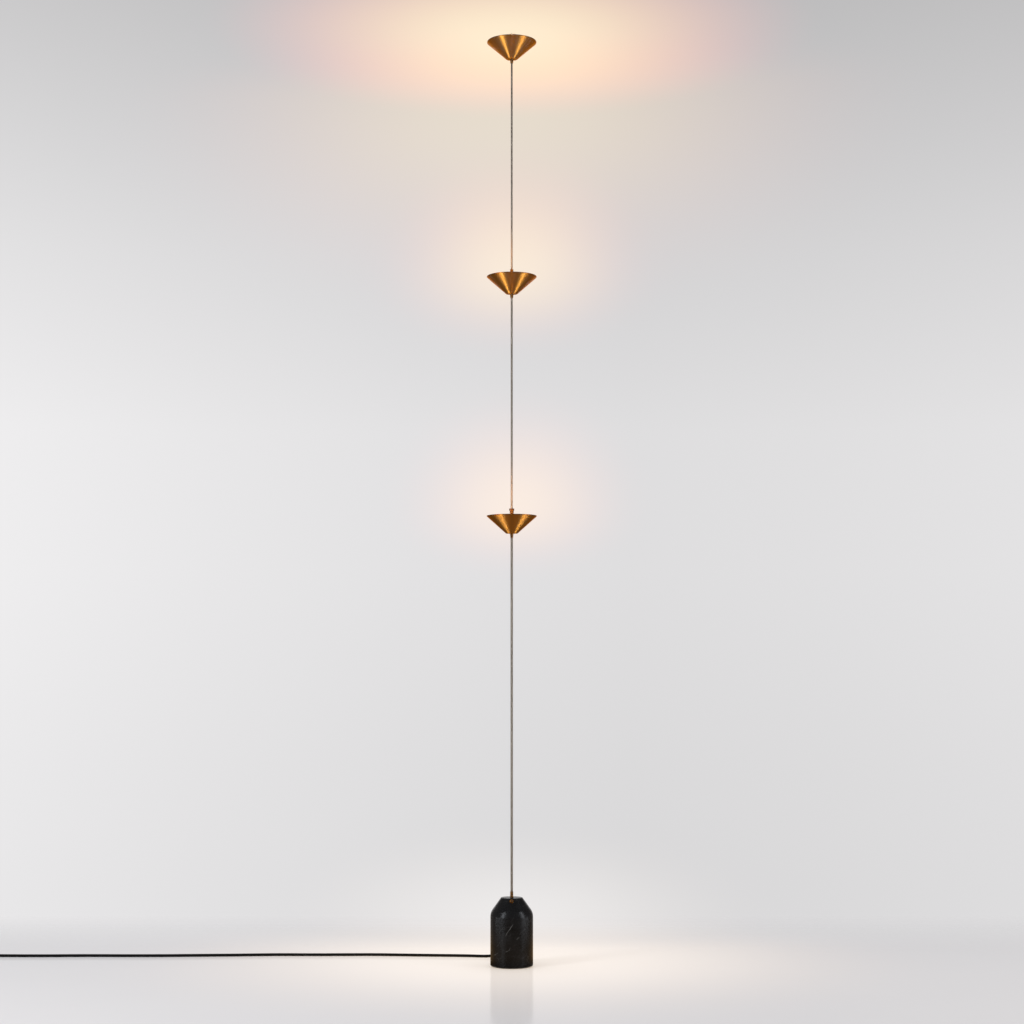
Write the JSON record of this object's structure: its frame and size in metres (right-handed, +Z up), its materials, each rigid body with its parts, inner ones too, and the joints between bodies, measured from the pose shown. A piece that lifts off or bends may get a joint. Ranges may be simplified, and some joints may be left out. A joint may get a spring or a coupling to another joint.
{
  "type": "floor-to-ceiling pole lamp",
  "caption": "Slim floor-to-ceiling lamp: upward-facing brass cone shades on a telescopic pole, sprung ceiling foot, heavy bullet-shaped marble base with a dimmer button.",
  "frame": {"origin": "centre of the foot pad's underside, where the lamp stands", "axes": "+Z up along the pole; -Y towards the dimmer button; +Y towards the mains lead's way out"},
  "size_m": [1.5795, 0.2643, 2.5],
  "materials": {
    "black_marble": "honed black marble with fine pale veins",
    "felt": "matt black foot pad",
    "steel": "plain zinc-plated steel",
    "stem_steel": "satin grey steel tube with a fine spiral finish",
    "brass": "spun and lacquered dark brass, brushed round the axis",
    "aluminium": "turned aluminium",
    "white_board": "white solder mask",
    "light_chip": "yellow phosphor, lit",
    "opal": "opal acrylic, lit warm white",
    "dark_plastic": "moulded black nylon",
    "light_plastic": "moulded pale nylon",
    "circuit_board": "green board and its parts",
    "pale_rubber": "pale non-marking rubber",
    "lead_sheath": "thin insulated lead",
    "cord_sheath": "smooth black mains lead",
    "plug_plastic": "moulded black plug",
    "pin_metal": "nickel-plated pins"
  },
  "bodies": {
    "base": {"marble_base": "black_marble", "foot_pad": "felt", "bottom_cover": "steel", "cover_screws": "steel", "base_ferrule": "brass", "stem_washer": "steel", "stem_nut": "steel", "driver_case": "dark_plastic", "driver_lid": "dark_plastic", "driver_board": "circuit_board", "terminal_block": "light_plastic", "button_bush": "brass", "dimmer_switch": "dark_plastic", "switch_lead": "lead_sheath", "lower_stem": "stem_steel", "power_lead": "lead_sheath", "coiled_feed": "lead_sheath", "collet": "brass", "cable_gland": "dark_plastic", "inner_mains_lead": "cord_sheath", "strain_relief": "cord_sheath", "mains_lead": "cord_sheath", "mains_lead_end": "cord_sheath", "mains_lead_coil": "cord_sheath", "plug_body": "plug_plastic", "plug_pins": "pin_metal", "shade_lower": "brass", "ferrule_lower": "brass", "hub_lower": "brass", "heat_sink_lower": "aluminium", "led_board_lower": "white_board", "led_chips_lower": "light_chip", "board_screws_lower": "steel", "diffuser_lower": "opal"},
    "lock_collar": {"lock_collar": "brass"},
    "upper_pole": {"middle_stem": "stem_steel", "upper_stem": "stem_steel", "feed_plug": "dark_plastic", "pole_leads": "lead_sheath", "shade_middle": "brass", "ferrule_middle": "brass", "hub_middle": "brass", "heat_sink_middle": "aluminium", "led_board_middle": "white_board", "led_chips_middle": "light_chip", "board_screws_middle": "steel", "diffuser_middle": "opal", "shade_upper": "brass", "ferrule_upper": "brass", "hub_upper": "brass", "heat_sink_upper": "aluminium", "led_board_upper": "white_board", "led_chips_upper": "light_chip", "board_screws_upper": "steel", "diffuser_upper": "opal", "foot_spring": "steel"},
    "ceiling_foot": {"foot_plunger": "steel", "pad_holder": "brass", "ceiling_pad": "pale_rubber"},
    "dimmer_button": {"dimmer_button": "brass"}
  },
  "joints": [
    {"name": "collar_turn", "type": "hinge", "parent": "base", "child": "lock_collar", "pos_m": [0, 0, 1.197], "axis": [0, 0, 1], "range_deg": [0, 120]},
    {"name": "pole_slide", "type": "slide", "parent": "base", "child": "upper_pole", "axis": [0, 0, 1], "range_m": [-0.15, 0.25], "deforming": ["coiled_feed"]},
    {"name": "foot_press", "type": "slide", "parent": "upper_pole", "child": "ceiling_foot", "axis": [0, 0, 1], "range_m": [-0.008, 0.012], "stiffness_N_per_m": 500, "springref_m": 0.014, "deforming": ["foot_spring"]},
    {"name": "button_press", "type": "slide", "parent": "base", "child": "dimmer_button", "axis": [0, 0.808, -0.5892], "range_m": [0, 0.0015], "stiffness_N_per_m": 1500, "springref_m": -0.0008}
  ]
}
